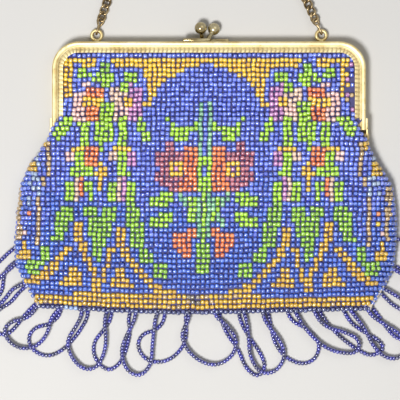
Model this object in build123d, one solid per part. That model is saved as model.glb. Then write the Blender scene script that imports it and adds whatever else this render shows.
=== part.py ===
# Beaded evening purse with a hinged metal frame, a kiss-lock clasp and a curb chain handle.
# Millimetres. The purse lies on its back: X runs across it, Y towards the clasp, Z up.
# The origin is the middle of the top bar, on the back face of the rear frame half.

from build123d import *
import math
import os

os.makedirs("parts", exist_ok=True)

# Frame halves, pressed from sheet as a channel that opens towards the cloth
frame_half_width = 64.4        # from the middle to the centre line of a leg
frame_corner_radius = 9.05     # centre line of the top corners
frame_face = 4.7               # width of the face seen from the front
frame_sheet = 0.6
frame_depth = 3.9              # depth of each half
frame_gap = 0.3                # between the closed halves
bead_width = 2.75              # raised smooth outer bead of the face
bead_rise = 0.3                # how far the bead stands above the inner band
bead_edge_radius = 0.5
mating_lip = 3.9               # width of the flange on the mating side
edge_tolerance = 0.01          # for finding the outer rim's edges
leg_length = 35.3              # from the top bar's centre line down to the channel's end

# Hinge ears and rivets
pivot_drop = 38.0              # from the top bar's centre line down to the pivots
ear_radius = 2.4
ear_sheet = 0.7                # front ear, which passes outside the rear ear
ear_gap = 0.2
ear_web_overlap = 1.0
ear_foot_length = 4.7          # where the front ear is set out from the leg
ear_web_inset = 0.15           # between the web's edge and the mating face
ear_web_turn = 240.0           # where the web leaves the round eye, in degrees
pivot_hole_reach = 5.0         # drilled this far on both sides of the leg's outer face
rivet_radius = 0.9
rivet_hole_clearance = 0.05
rivet_head_radius = 1.6
rivet_head_height = 0.5
rivet_head_gap = 0.15

# Kiss-lock clasp
ball_radius = 2.62
stem_radius = 0.7
stem_hole_clearance = 0.05
stem_entry = 1.6               # how far a stem reaches into its ball
arm_thickness = 1.4
arm_width = 2.5
front_ball = (2.1, 7.9, 3.2)
rear_ball = (-3.5, 8.2, 4.9)
front_arm_ends = (-11.05, 0.5)
rear_arm_ends = (-3.7, 8.5)
arm_stem_inset = 0.9           # from the arm's end to the foot of its stem

# Lugs for the handle chain
lug_offset = 48.0              # from the middle to each lug
lug_ring_radius = 2.1          # centre line of the ring
lug_wire_radius = 0.7
lug_foot = (2.0, 1.0, 1.3)
lug_ring_gap = 0.1             # between the ring's wire and the top bar
lug_height = 2.2               # centre of the ring above the back face
lug_steps = 16                 # flat facets round the ring

# Handle chain
chain_wire_radius = 0.5
end_link_length = 8.2
end_link_width = 4.2
end_link_lean = (18.0, 24.0)   # left and right, in degrees towards the middle
end_link_seat = 0.6            # share of the lean at which the link sits on its ring
end_link_steps = 6             # facets round each of its ends
curb_half_length = 2.15        # centre line of a curb link, half of its length
curb_half_width = 1.5
curb_twist_rise = 0.75
curb_steps = 8                 # facets round a curb link
curb_pitch = 3.05
curb_first_step = 0.85         # from the end link's far bar to the first curb link
curb_first_roll = 30.0         # the first links are rolled to meet the end link
curb_roll_step = 12.0
chain_reach = 94.0             # how far the pull of each end carries into the loop
wire_sides = 4                 # the chain's and the lugs' wire has flat facets

# Bead cloth and lining
cloth_thickness = 1.6
lining_thickness = 0.35
cloth_slot_clearance = 0.15
cloth_edge = 0.6               # cloth edge in the slot, beyond the frame's centre line
lining_edge = 0.4
front_panel_drop = 38.0        # lower edge of the panel on the front half
mouth_drop = 44.0              # where the pouch's front wall begins
pouch_wall = 1.7
lining_gap = 0.25
slope_top = 36.0               # where the back cloth starts to slope to its lying face
slope_bottom = 45.0
slope_overlap = 2.0
pouch_edge_chamfer = 1.6
pouch_chamfer_least = 0.2
pouch_chamfer_share = 0.4      # of the height, at most
mouth_cut = 1.0                # the hollow is cut this far past the mouth

# Cross sections of the pouch: drop, centre, half width, height
pouch_sections = [
    (mouth_drop, 0.0, 70.5, 9.2),
    (52.0, -0.7, 77.0, 10.6),
    (60.0, -1.1, 80.0, 12.0),
    (85.0, -1.5, 81.9, 12.0),
    (96.0, -1.6, 79.6, 10.4),
    (104.0, -1.8, 75.8, 8.0),
    (111.0, -2.1, 71.5, 5.8),
]

# Fringe of bead strings
string_side = 1.6              # plain square section, as large in area as a bead is
string_levels = (0.95, 3.05)   # neighbouring strings lie on two levels
string_gap = 0.1               # between a string's end and the pouch
string_corner_share = 0.45     # of the shorter run that a corner's arc may take

mid_plane = frame_depth + frame_gap / 2
frame_top = frame_face / 2
leg_outer = frame_half_width + frame_top


def save(shape, name):
    shape.label = name
    export_step(shape, "parts/" + name + ".step")


def block(x0, x1, y0, y1, z0, z1):
    """Box between two corners."""
    return Pos((x0 + x1) / 2, (y0 + y1) / 2, (z0 + z1) / 2) * Box(x1 - x0, y1 - y0, z1 - z0)


def rod(start, end, radius):
    """Round rod between two points."""
    a = Vector(*start)
    b = Vector(*end)
    plane = Plane(origin=a, z_dir=(b - a).normalized())
    return extrude(plane * Circle(radius), amount=(b - a).length)


def under_frame(offset, drop, z0, z1):
    """Plate with the frame's outline moved outwards by offset, down to a straight lower edge."""
    half = frame_half_width + offset
    radius = frame_corner_radius + offset
    tall = offset + drop + 2 * radius + 1
    plan = Pos(0, offset - tall / 2) * RectangleRounded(2 * half, tall, radius)
    plan -= Pos(0, -drop - tall / 2) * Rectangle(3 * half, tall)
    return extrude(Pos(0, 0, z0) * plan, amount=z1 - z0)


def band(inner, outer, z0, z1):
    """Strip that follows the frame, between two offsets from its centre line."""
    strip = under_frame(outer, leg_length, z0, z1)
    return strip - under_frame(inner, leg_length + 1, z0 - 1, z1 + 1)


def on_outer_rim(edge):
    """True for the back face's edges that run along the outside of the frame."""
    middle = edge @ 0.5
    if abs(edge.bounding_box().max.Z) > edge_tolerance:
        return False
    to_corner = Vector(
        max(abs(middle.X) - frame_half_width + frame_corner_radius, 0),
        max(middle.Y + frame_corner_radius, 0),
    )
    return to_corner.length > frame_corner_radius + frame_top - edge_tolerance


# Rear frame half: raised bead, recessed inner band, outer wall and mating flange
bead_start = frame_top - bead_width
bead = band(bead_start, frame_top, 0, frame_sheet)
bead = bead + band(frame_top - frame_sheet, frame_top, 0, frame_depth)
bead = fillet([e for e in bead.edges() if on_outer_rim(e)], bead_edge_radius)
inner_band = band(-frame_top, bead_start + frame_sheet, bead_rise, bead_rise + frame_sheet)
flange = band(frame_top - mating_lip, frame_top, frame_depth - frame_sheet, frame_depth)
half_channel = bead + inner_band + flange


def ear_outline():
    """Side view of an ear: a round eye on the pivot and a web up into the leg."""
    eye = Pos(-pivot_drop, mid_plane) * Circle(ear_radius)
    turn = math.radians(ear_web_turn)
    web = Polyline(
        (-leg_length + ear_web_overlap, frame_sheet),
        (-leg_length + ear_web_overlap, frame_depth - ear_web_inset),
        (-pivot_drop, mid_plane),
        (-pivot_drop + ear_radius * math.cos(turn), mid_plane + ear_radius * math.sin(turn)),
        (-(pivot_drop + leg_length) / 2, frame_sheet),
        close=True,
    )
    return eye + make_face(web)


def ear(x0, x1):
    """Ear on the right leg between two distances from the middle, without its hole."""
    side = Plane(origin=(x0, 0, 0), x_dir=(0, 1, 0), z_dir=(1, 0, 0))
    return extrude(side * ear_outline(), amount=x1 - x0)


hole_radius = rivet_radius + rivet_hole_clearance
pivot_hole = rod(
    (leg_outer - pivot_hole_reach, -pivot_drop, mid_plane),
    (leg_outer + pivot_hole_reach, -pivot_drop, mid_plane),
    hole_radius,
)

rear_ear = ear(leg_outer - frame_sheet, leg_outer) - pivot_hole
rear_frame = half_channel + rear_ear + mirror(rear_ear, about=Plane.YZ)

front_ear_in = leg_outer + ear_gap
front_ear_out = front_ear_in + ear_sheet
front_ear = ear(front_ear_in, front_ear_out) - pivot_hole
ear_foot = block(
    leg_outer - frame_sheet / 2,
    front_ear_out,
    -leg_length + ear_gap,
    -leg_length + ear_gap + ear_foot_length,
    frame_sheet,
    frame_depth - frame_sheet / 2,
)
front_ear = front_ear + ear_foot
front_frame = half_channel + front_ear + mirror(front_ear, about=Plane.YZ)
front_frame = mirror(front_frame, about=Plane.XY.offset(mid_plane))

save(rear_frame, "rear_frame")
save(front_frame, "front_frame")

# Rivets, fixed to the rear ears
shank_start = leg_outer - frame_sheet - rivet_head_gap
shank_end = front_ear_out + rivet_head_gap
rivet = rod(
    (shank_start - rivet_head_height, -pivot_drop, mid_plane),
    (shank_end + rivet_head_height, -pivot_drop, mid_plane),
    rivet_radius,
)
rivet += rod(
    (shank_start - rivet_head_height, -pivot_drop, mid_plane),
    (shank_start, -pivot_drop, mid_plane),
    rivet_head_radius,
)
rivet += rod(
    (shank_end, -pivot_drop, mid_plane),
    (shank_end + rivet_head_height, -pivot_drop, mid_plane),
    rivet_head_radius,
)
save(rivet, "right_rivet")
save(mirror(rivet, about=Plane.YZ), "left_rivet")


# Clasp arms lie on top of the frame, each with a stem that carries a ball
def clasp(ends, stem_x, z_mid, ball_centre):
    """Arm with its stem, and the ball bored for the stem."""
    arm = block(
        ends[0], ends[1],
        frame_top, frame_top + arm_thickness,
        z_mid - arm_width / 2, z_mid + arm_width / 2,
    )
    foot = Vector(stem_x, frame_top + arm_thickness / 2, z_mid)
    centre = Vector(*ball_centre)
    direction = (centre - foot).normalized()
    tip = centre - direction * (ball_radius - stem_entry)
    stem = rod(foot, tip, stem_radius)
    ball = Pos(*ball_centre) * Sphere(ball_radius)
    bore_end = centre - direction * (ball_radius - stem_entry - stem_hole_clearance)
    bore = rod(foot, bore_end, stem_radius + stem_hole_clearance)
    return arm + stem, ball - bore


arm_level = frame_depth / 2
front_arm, front_ball_solid = clasp(
    front_arm_ends, front_arm_ends[1] - arm_stem_inset, 2 * mid_plane - arm_level, front_ball
)
rear_arm, rear_ball_solid = clasp(
    rear_arm_ends, rear_arm_ends[0] + arm_stem_inset, arm_level, rear_ball
)
save(front_arm, "front_clasp_arm")
save(front_ball_solid, "front_clasp_ball")
save(rear_arm, "rear_clasp_arm")
save(rear_ball_solid, "rear_clasp_ball")


def closed_loop(route, radius):
    """Wire bent into a closed loop through the points, with flat facets."""
    centre = Vector(0, 0, 0)
    for point in route:
        centre += point / len(route)
    corner_radius = radius / math.sqrt(math.cos(math.pi / wire_sides))
    rings = []
    for i, point in enumerate(route):
        along = (route[(i + 1) % len(route)] - route[i - 1]).normalized()
        outward = point - centre
        outward = (outward - along * outward.dot(along)).normalized()
        across = along.cross(outward)
        ring = []
        for k in range(wire_sides):
            turn = 2 * math.pi * (k + 0.5) / wire_sides
            ring.append(point + (outward * math.cos(turn) + across * math.sin(turn)) * corner_radius)
        rings.append(ring)
    faces = []
    for i, ring in enumerate(rings):
        following = rings[(i + 1) % len(rings)]
        for k in range(wire_sides):
            m = (k + 1) % wire_sides
            faces.append(Face(Wire.make_polygon([ring[k], ring[m], following[m]])))
            faces.append(Face(Wire.make_polygon([ring[k], following[m], following[k]])))
    return Solid(Shell(faces))


# Lugs: a ring on a small foot, brazed to the rear half's top edge
lug_centre_y = frame_top + lug_ring_gap + lug_ring_radius + lug_wire_radius
lug_route = []
for step in range(lug_steps):
    turn = 2 * math.pi * step / lug_steps
    lug_route.append(Vector(lug_ring_radius * math.cos(turn), lug_ring_radius * math.sin(turn), 0))
lug_ring = closed_loop(lug_route, lug_wire_radius)
for side_name, lug_x in (("left_lug", -lug_offset), ("right_lug", lug_offset)):
    ring = lug_ring.moved(Pos(lug_x, lug_centre_y, lug_height))
    foot = block(
        lug_x - lug_foot[0] / 2, lug_x + lug_foot[0] / 2,
        frame_top, frame_top + lug_foot[1],
        lug_height - lug_foot[2] / 2, lug_height + lug_foot[2] / 2,
    )
    save(ring + foot, side_name)


# End links: long ovals that stand on edge, one through each lug
end_bar_radius = end_link_width / 2 - chain_wire_radius
end_link_straight = end_link_length - 2 * chain_wire_radius - 2 * end_bar_radius
end_route = []
for bend_start, shift in ((-90, end_link_straight), (90, 0)):
    for step in range(end_link_steps + 1):
        turn = math.radians(bend_start + 180 * step / end_link_steps)
        end_route.append(
            Vector(shift + end_bar_radius * math.cos(turn), 0, end_bar_radius * math.sin(turn))
        )
end_link = closed_loop(end_route, chain_wire_radius)

chain_ends = []
for side, lean, link_name in (
    (-1, end_link_lean[0], "left_end_link"),
    (1, end_link_lean[1], "right_end_link"),
):
    seat = math.radians(lean * end_link_seat)
    lean_angle = math.radians(lean)
    start = Vector(
        side * (lug_offset - lug_ring_radius * math.sin(seat)),
        lug_centre_y + lug_ring_radius * math.cos(seat),
        lug_height,
    )
    heading = Vector(-side * math.sin(lean_angle), math.cos(lean_angle), 0)
    place = Plane(origin=start, x_dir=heading, z_dir=(0, 0, 1))
    save(end_link.moved(place.location), link_name)
    reach = end_link_straight + end_bar_radius + curb_first_step
    chain_ends.append((start + heading * reach, heading))

# Curb chain: twisted oval links, each through the next, laid along one smooth loop
curb_route = []
for step in range(curb_steps):
    turn = 2 * math.pi * step / curb_steps
    curb_route.append(
        Vector(
            curb_half_length * math.cos(turn),
            curb_half_width * math.sin(turn),
            curb_twist_rise * math.sin(2 * turn),
        )
    )
curb_link = closed_loop(curb_route, chain_wire_radius)

(left_end, left_heading), (right_end, right_heading) = chain_ends
handle_line = Bezier(
    left_end,
    left_end + left_heading * chain_reach,
    right_end + right_heading * chain_reach,
    right_end,
)
link_steps = math.ceil(handle_line.length / curb_pitch)
links = []
for i in range(link_steps + 1):
    here = handle_line.position_at(i / link_steps)
    direction = handle_line.tangent_at(i / link_steps)
    from_left = curb_first_roll - curb_roll_step * i
    from_right = curb_first_roll - curb_roll_step * (link_steps - i)
    roll = math.radians(max(from_left, 0) - max(from_right, 0))
    sideways = Vector(-direction.Y, direction.X, 0).normalized()
    up = Vector(0, 0, 1) * math.cos(roll) - sideways * math.sin(roll)
    place = Plane(origin=here, x_dir=direction, z_dir=up)
    links.append(curb_link.moved(place.location))
save(Compound(children=links), "handle_chain")
print("curb links", len(links), "loop", round(handle_line.length, 1))

# Front cloth and its lining, held in the front half's channel
slot_floor = bead_rise + frame_sheet + cloth_slot_clearance
slot_roof = slot_floor + cloth_thickness
lining_floor = slot_roof + cloth_slot_clearance
lining_roof = lining_floor + lining_thickness
front_panel = under_frame(
    cloth_edge, front_panel_drop, 2 * mid_plane - slot_roof, 2 * mid_plane - slot_floor
)
lining_front = under_frame(
    lining_edge, front_panel_drop, 2 * mid_plane - lining_roof, 2 * mid_plane - lining_floor
)
save(front_panel, "front_panel")
save(lining_front, "lining_front")


def pouch_body(inset, mouth_shift):
    """Lying pouch, drawn in by inset on every side but its mouth."""
    sections = []
    for i, (drop, centre, half, height) in enumerate(pouch_sections):
        y = -drop
        if i == 0:
            y += mouth_shift
        if i == len(pouch_sections) - 1:
            y += inset
        tall = height - 2 * inset
        cut = min(max(pouch_edge_chamfer - inset / 2, pouch_chamfer_least), pouch_chamfer_share * tall)
        wide = half - inset
        low = inset
        high = height - inset
        section = Polyline(
            (centre - wide + cut, y, low),
            (centre + wide - cut, y, low),
            (centre + wide, y, low + cut),
            (centre + wide, y, high - cut),
            (centre + wide - cut, y, high),
            (centre - wide + cut, y, high),
            (centre - wide, y, high - cut),
            (centre - wide, y, low + cut),
            close=True,
        )
        sections.append(make_face(section))
    return loft(sections, ruled=True)


def back_sheet(edge, top_floor, low_floor, thickness):
    """Cloth in the rear half's channel that slopes down to the pouch's back wall."""
    outline = Polyline(
        (edge, top_floor),
        (-slope_top, top_floor),
        (-slope_bottom, low_floor),
        (-slope_bottom - slope_overlap, low_floor),
        (-slope_bottom - slope_overlap, low_floor + thickness),
        (-slope_bottom, low_floor + thickness),
        (-slope_top, top_floor + thickness),
        (edge, top_floor + thickness),
        close=True,
    )
    half = frame_half_width + edge
    side = Plane(origin=(-half, 0, 0), x_dir=(0, 1, 0), z_dir=(1, 0, 0))
    sheet = extrude(side * make_face(outline), amount=2 * half)
    return sheet & under_frame(edge, slope_bottom + slope_overlap, -1, 2 * mid_plane)


# Pouch: the beaded bag below the hinge and the back cloth above it
pouch = pouch_body(0, 0) - pouch_body(pouch_wall, mouth_cut)
pouch += back_sheet(cloth_edge, slot_floor, 0, cloth_thickness)
save(pouch, "pouch")

# Lining of the pouch, a thin bag inside it
lining_inset = pouch_wall + lining_gap
lining_pouch = pouch_body(lining_inset, 0) - pouch_body(lining_inset + lining_thickness, mouth_cut)
lining_pouch += back_sheet(lining_edge, lining_floor, lining_inset, lining_thickness)
save(lining_pouch, "lining_pouch")

# Fringe: bead strings that hang in loops from the hem and the lower sides
string_routes = [
    [(-81.6, -84.4), (-85, -86.9), (-88.8, -90.7), (-93.1, -94.6), (-96.5, -99.7), (-96, -105.6),
     (-91.8, -108.2), (-88.4, -104.3), (-88, -98.8), (-86.7, -94.1), (-81.6, -90.7)],
    [(-81.6, -91.6), (-85.4, -95), (-90.1, -98.8), (-94.3, -103.5), (-94.3, -109), (-90.1, -110.7),
     (-86.7, -106.9), (-83.3, -102.2), (-76.9, -100.1)],
    [(-76.9, -100.9), (-81.2, -104.3), (-84.6, -109), (-90.1, -112), (-93.5, -116.7),
     (-91.8, -122.2), (-86.3, -123), (-82, -118.8), (-77.8, -112.8), (-71.4, -106.9)],
    [(-72.2, -106.5), (-73.5, -111.6), (-77.8, -115.8), (-84.1, -116.7), (-88, -120.5),
     (-85.4, -126), (-79.5, -129), (-72.7, -127.3), (-68.4, -121.3), (-67.6, -114.5),
     (-60.8, -108.6)],
    [(-62.5, -108.2), (-63.3, -114.1), (-68, -118.4), (-74.8, -119.6), (-77.8, -124.7),
     (-74.8, -130.3), (-68, -132.4), (-60.8, -128.1), (-55.2, -121.3), (-51, -113.7),
     (-52.3, -108.2)],
    [(-54, -107.7), (-54, -114.1), (-57.4, -120.1), (-60.8, -125.2), (-59.1, -132), (-54, -137.5),
     (-48, -137.1), (-44.6, -130.7), (-43.8, -123.5), (-45, -116.2), (-42.5, -108.2)],
    [(-41.6, -108.2), (-41.2, -115.4), (-45.5, -121.3), (-49.7, -126.4), (-48.9, -133.7),
     (-42.9, -138.8), (-37.4, -134.5), (-34.9, -127.7), (-33.6, -121.3), (-34.9, -115),
     (-31.9, -108.6)],
    [(-31, -108.6), (-31, -115.4), (-34.9, -122.2), (-37.8, -129.4), (-35.7, -137.5),
     (-29.8, -140.9), (-24.6, -135.8), (-24.2, -127.7), (-23.4, -120.1), (-22.9, -115),
     (-20, -109)],
    [(-19.1, -109), (-18.3, -115.4), (-22.1, -120.9), (-28.5, -122.2), (-31, -127.7),
     (-27.2, -133.7), (-20, -134.9), (-13.6, -131.5), (-9.3, -124.7), (-10.2, -115.4),
     (-9.3, -109)],
    [(-8.5, -109), (-8.1, -115.8), (-11.9, -121.8), (-10.2, -128.1), (-4.7, -133.7), (3, -136.2),
     (10.2, -132), (12.3, -124.7), (7.6, -118.4), (1.7, -114.1), (1.7, -108.6)],
    [(2.5, -108.6), (4.7, -115), (7.6, -122.6), (12.8, -129), (15.3, -136.6), (20.8, -141.3),
     (24.6, -136.6), (21.7, -129.8), (16.6, -123), (12.8, -115.8), (11.9, -108.6)],
    [(13.2, -108.6), (16.1, -115.4), (17, -123.5), (17.4, -132), (21.7, -139.2), (28.5, -138.8),
     (32.7, -132.4), (31, -125.6), (25.5, -119.2), (22.5, -113.7), (23.4, -108.6)],
    [(24.2, -108.6), (26.3, -116.7), (27.6, -125.6), (32.7, -132.8), (40.4, -135.8),
     (46.3, -132.8), (47.6, -125.6), (42.1, -120.1), (36.1, -117.5), (33.1, -112.8), (34, -108.6)],
    [(34.9, -108.6), (38.2, -115.8), (42.9, -122.2), (49.3, -128.1), (56.9, -130.7),
     (63.8, -130.3), (64.6, -124.7), (57.8, -121.3), (50.1, -119.6), (45.5, -114.5),
     (42.9, -108.2)],
    [(44.6, -108.2), (49.3, -116.2), (55.2, -123), (62.5, -128.6), (69.7, -132.4), (75.6, -128.6),
     (71.8, -124.3), (65, -120.9), (59.1, -116.2), (55.7, -108.2)],
    [(56.9, -107.7), (61.6, -113.7), (66.7, -120.1), (69.7, -126.9), (75.2, -132.8), (82, -132.8),
     (85.4, -127.3), (81.2, -121.8), (74.4, -117.9), (67.6, -113.3), (65.9, -106.5)],
    [(66.7, -107.3), (71.8, -113.3), (76.1, -120.1), (81.2, -125.2), (86.7, -123.9),
     (87.1, -117.9), (83.3, -112.4), (77.3, -109.4), (71.8, -102.6)],
    [(72.7, -101.8), (78.2, -104.8), (84.1, -108.6), (90.5, -109.4), (93.1, -104.3),
     (88.8, -100.1), (82.9, -97.1), (76.1, -92.9)],
    [(76.1, -92), (81.2, -94.1), (86.7, -96.7), (92.6, -95.4), (94.8, -89.9), (91, -84.8),
     (84.1, -82.2), (76.1, -81)],
]


def corner_radii(points):
    """Largest arc that each corner's two runs allow."""
    radii = []
    for before, corner, after in zip(points, points[1:], points[2:]):
        first = corner - before
        second = after - corner
        turn = math.radians(first.get_angle(second))
        shorter = min(first.length, second.length)
        radii.append(string_corner_share * shorter / math.tan(turn / 2))
    return radii


string_stop = pouch_body(-string_gap, 0)
for number, route in enumerate(string_routes, start=1):
    level = string_levels[(number + 1) % 2]
    points = [Vector(x, y, level) for x, y in route]
    path = FilletPolyline(*points, radius=corner_radii(points))
    start_plane = Plane(
        origin=points[0], x_dir=(0, 0, 1), z_dir=(points[1] - points[0]).normalized()
    )
    section = start_plane * Rectangle(string_side, string_side)
    whole = sweep(section, path=path)
    string = (whole - string_stop).solids().sort_by(SortBy.VOLUME)[-1]
    save(string, "fringe_%02d" % number)
    free_length = string.volume / section.area
    print("string", number, "free length", round(free_length, 1))
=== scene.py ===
import math
import random

import bmesh
import bpy
from mathutils import Matrix, Vector


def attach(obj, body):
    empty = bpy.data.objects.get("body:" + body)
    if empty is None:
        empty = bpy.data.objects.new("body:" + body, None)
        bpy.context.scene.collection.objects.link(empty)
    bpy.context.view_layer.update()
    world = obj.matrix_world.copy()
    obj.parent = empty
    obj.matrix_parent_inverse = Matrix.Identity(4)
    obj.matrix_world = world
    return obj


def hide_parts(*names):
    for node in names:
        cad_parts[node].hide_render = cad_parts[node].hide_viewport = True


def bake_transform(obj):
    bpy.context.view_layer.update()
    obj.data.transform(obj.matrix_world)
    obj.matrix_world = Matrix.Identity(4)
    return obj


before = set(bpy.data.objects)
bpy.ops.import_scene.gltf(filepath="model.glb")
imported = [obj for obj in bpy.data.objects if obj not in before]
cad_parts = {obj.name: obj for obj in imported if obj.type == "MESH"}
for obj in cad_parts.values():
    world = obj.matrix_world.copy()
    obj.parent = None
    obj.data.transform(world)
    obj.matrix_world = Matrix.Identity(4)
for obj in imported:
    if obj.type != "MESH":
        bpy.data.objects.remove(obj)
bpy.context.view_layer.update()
mm = 0.001

# Camera and floor. The purse lies on its back and is looked at from straight above, with the handle's
# upper part past the top edge of the picture. The floor is a plain pale board.
camera_data = bpy.data.cameras.new("camera")
camera_data.sensor_width = 36
camera_data.lens = 189
camera = bpy.data.objects.new("camera", camera_data)
camera.location = (-3.8 * mm, -65.1 * mm, 900 * mm)
bpy.context.scene.collection.objects.link(camera)
bpy.context.scene.camera = camera
bpy.context.scene.view_settings.view_transform = "Standard"


def linear(code):
    """Linear colour of an sRGB hex value."""
    parts = [int(code[i:i + 2], 16) / 255 for i in (1, 3, 5)]
    return tuple(p / 12.92 if p <= 0.04045 else ((p + 0.055) / 1.055) ** 2.4 for p in parts) + (1,)


def add_node(tree, kind, inputs=None, **settings):
    """Adds a shader node; inputs that are sockets are linked, and other inputs are values."""
    node = tree.nodes.new("ShaderNode" + kind)
    for name, value in settings.items():
        setattr(node, name, value)
    for name, value in (inputs or {}).items():
        if isinstance(value, bpy.types.NodeSocket):
            tree.links.new(value, node.inputs[name])
        else:
            node.inputs[name].default_value = value
    return node


def new_material(name):
    """Empty material with its output node."""
    material = bpy.data.materials.new(name)
    material.use_nodes = True
    material.node_tree.nodes.clear()
    output = add_node(material.node_tree, "OutputMaterial")
    return material, material.node_tree, output


def noise(tree, scale, detail=2, roughness=0.5):
    """Cloudy value over the object; its patches are about 1 / scale metres."""
    place = add_node(tree, "TexCoord").outputs["Object"]
    inputs = {"Vector": place, "Scale": scale, "Detail": detail, "Roughness": roughness}
    return add_node(tree, "TexNoise", inputs).outputs["Fac"]


def ranged(tree, value, low=0, high=1, to_low=0, to_high=1):
    """Value stretched from one range to another."""
    inputs = {"Value": value, "From Min": low, "From Max": high, "To Min": to_low, "To Max": to_high}
    return add_node(tree, "MapRange", inputs).outputs["Result"]


def combined(tree, operation, first, second):
    """Result of a calculation with two values."""
    return add_node(tree, "Math", {0: first, 1: second}, operation=operation).outputs["Value"]


def mixed(tree, factor, first, second, **settings):
    """Colour between two."""
    inputs = {"Factor": factor, "A": first, "B": second}
    return add_node(tree, "Mix", inputs, data_type="RGBA", **settings).outputs["Result"]


def bumped(tree, height, strength, distance):
    """Surface direction over small bumps."""
    inputs = {"Height": height, "Strength": strength, "Distance": distance}
    return add_node(tree, "Bump", inputs).outputs["Normal"]


def add_skin(tree, output, inputs):
    """Surface of the material."""
    skin = add_node(tree, "BsdfPrincipled", inputs)
    tree.links.new(skin.outputs["BSDF"], output.inputs["Surface"])


def mesh_of(shape, name):
    """Smooth mesh of a finished shape, which is then freed."""
    for face in shape.faces:
        face.smooth = True
    mesh = bpy.data.meshes.new(name)
    shape.to_mesh(mesh)
    shape.free()
    return mesh


def put(name, mesh, materials):
    """Object at the origin for a finished mesh."""
    piece = bpy.data.objects.new(name, mesh)
    for material in materials:
        piece.data.materials.append(material)
    bpy.context.scene.collection.objects.link(piece)
    return piece


# Painted board: matte emulsion, very slightly uneven
floor_paint, tree, output = new_material("pale_painted_board")
paint = mixed(tree, noise(tree, 9), linear("#c9c7c3"), linear("#cfcdc9"))
add_skin(tree, output, {"Base Color": paint, "Roughness": 0.8})
shape = bmesh.new()
bmesh.ops.create_grid(shape, x_segments=1, y_segments=1, size=1.5)
board = put("board", mesh_of(shape, "board"), [floor_paint])

# Soft studio light: one large lamp below the purse's hem, as the shadows fall towards the clasp,
# a weaker one on the other side, and an even pale surround.
for lamp_name, place, size, power in (
    ("key", (-0.2, -0.3, 0.82), 0.2, 8.3),
    ("fill", (0.38, 0.3, 0.75), 0.6, 1.1),
):
    lamp_data = bpy.data.lights.new(lamp_name, "AREA")
    lamp_data.size = size
    lamp_data.energy = power
    lamp = bpy.data.objects.new(lamp_name, lamp_data)
    lamp.location = place
    aim = Vector((0, -0.06, 0)) - Vector(place)
    lamp.rotation_euler = aim.to_track_quat("-Z", "Y").to_euler()
    bpy.context.scene.collection.objects.link(lamp)
world = bpy.data.worlds.new("surround")
world.use_nodes = True
surround = world.node_tree.nodes["Background"].inputs
surround["Color"].default_value = linear("#f4f5f8")
bpy.context.scene.world = world
# the camera and reflections see the full pale surround, while the light from it is weaker
ray = add_node(world.node_tree, "LightPath").outputs
seen = combined(world.node_tree, "MAXIMUM", ray["Is Camera Ray"], ray["Is Glossy Ray"])
strength = ranged(world.node_tree, seen, to_low=0.24, to_high=0.8)
world.node_tree.links.new(strength, surround["Strength"])


# Fringe: strings of dark blue glass seed beads on thread. Each string leaves the edge at one stitch,
# hangs in a loop and goes back in at the next, and its two ends wind round those of its neighbours.
def glass(name, body, deep, roughness=0.14, skin_roughness=0.1):
    """Pressed and fire-polished seed bead glass: a glossy skin over a body that varies bead to bead."""
    material, tree, output = new_material(name)
    # patches of about 2.5 mm, a little more than a bead
    batch = ranged(tree, noise(tree, 400, 1.5, 0.6), 0.36, 0.64)
    tint = mixed(tree, batch, linear(deep), linear(body))
    # the ends, round the threaded hole, are painted darker: painted shade for the hole and for the gaps between
    # neighbouring beads
    end = add_node(tree, "Attribute", attribute_name="end").outputs["Fac"]
    shade = ranged(tree, end, 0.25, 1, 1, 0.42)
    add_skin(tree, output, {
        "Base Color": mixed(tree, 1.0, tint, shade, blend_type="MULTIPLY"),
        "Roughness": roughness,
        "IOR": 1.55,
        "Coat Weight": 1.0,
        "Coat IOR": 2.0,
        "Coat Roughness": skin_roughness,
    })
    return material


def verts_of(geom):
    """The vertices in an operator's result."""
    return [v for v in geom if isinstance(v, bmesh.types.BMVert)]


def edges_between(geom, verts):
    """The edges in an operator's result that join the given vertices."""
    return [e for e in geom if isinstance(e, bmesh.types.BMEdge) and all(v in verts for v in e.verts)]


def quarter_turn(shape, verts, axis):
    """Turns part of a shape by 90 degrees about an axis through the origin."""
    bmesh.ops.rotate(shape, verts=verts, cent=(0, 0, 0), matrix=Matrix.Rotation(math.pi / 2, 3, axis))


def barrel(name, length, radius, shoulder, sides=6):
    """Seed bead: a short barrel along X with rounded shoulders and closed ends, whose end rings carry painted
    shade.
    """
    shape = bmesh.new()
    # the end mark is 1 on the end rings and 0 on the body; the glass material paints shade where it is 1
    end = shape.verts.layers.float.new("end")
    bmesh.ops.create_circle(shape, cap_ends=True, segments=sides, radius=radius * shoulder)
    for vert in shape.verts:
        vert[end] = 1
    bmesh.ops.translate(shape, verts=shape.verts[:], vec=(0, 0, -length / 2))
    bmesh.ops.reverse_faces(shape, faces=shape.faces[:])
    rim = shape.edges[:]
    for step, width, dark in ((0.25, 1 / shoulder, 0), (0.5, 1.0, 0), (0.25, shoulder, 1)):
        grown = bmesh.ops.extrude_edge_only(shape, edges=rim)["geom"]
        ring = verts_of(grown)
        rim = edges_between(grown, ring)
        bmesh.ops.translate(shape, verts=ring, vec=(0, 0, length * step))
        bmesh.ops.scale(shape, verts=ring, vec=(width, width, 1))
        for vert in ring:
            vert[end] = dark
    bmesh.ops.contextual_create(shape, geom=rim)
    quarter_turn(shape, shape.verts[:], "Y")
    bmesh.ops.recalc_face_normals(shape, faces=shape.faces[:])
    return mesh_of(shape, name)


def strew(shape, mesh, place):
    """Adds a copy of a small mesh to a growing shape, at a place."""
    mesh.transform(place)
    shape.from_mesh(mesh)
    mesh.transform(place.inverted())


def new_line(kind, route):
    """Curve of one spline with the route's points."""
    curve = bpy.data.curves.new("line", "CURVE")
    curve.dimensions = "3D"
    spline = curve.splines.new(kind)
    spline.points.add(len(route) - 1)
    for point, place in zip(spline.points, route):
        point.co = (*place, 1)
    return curve, spline


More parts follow.
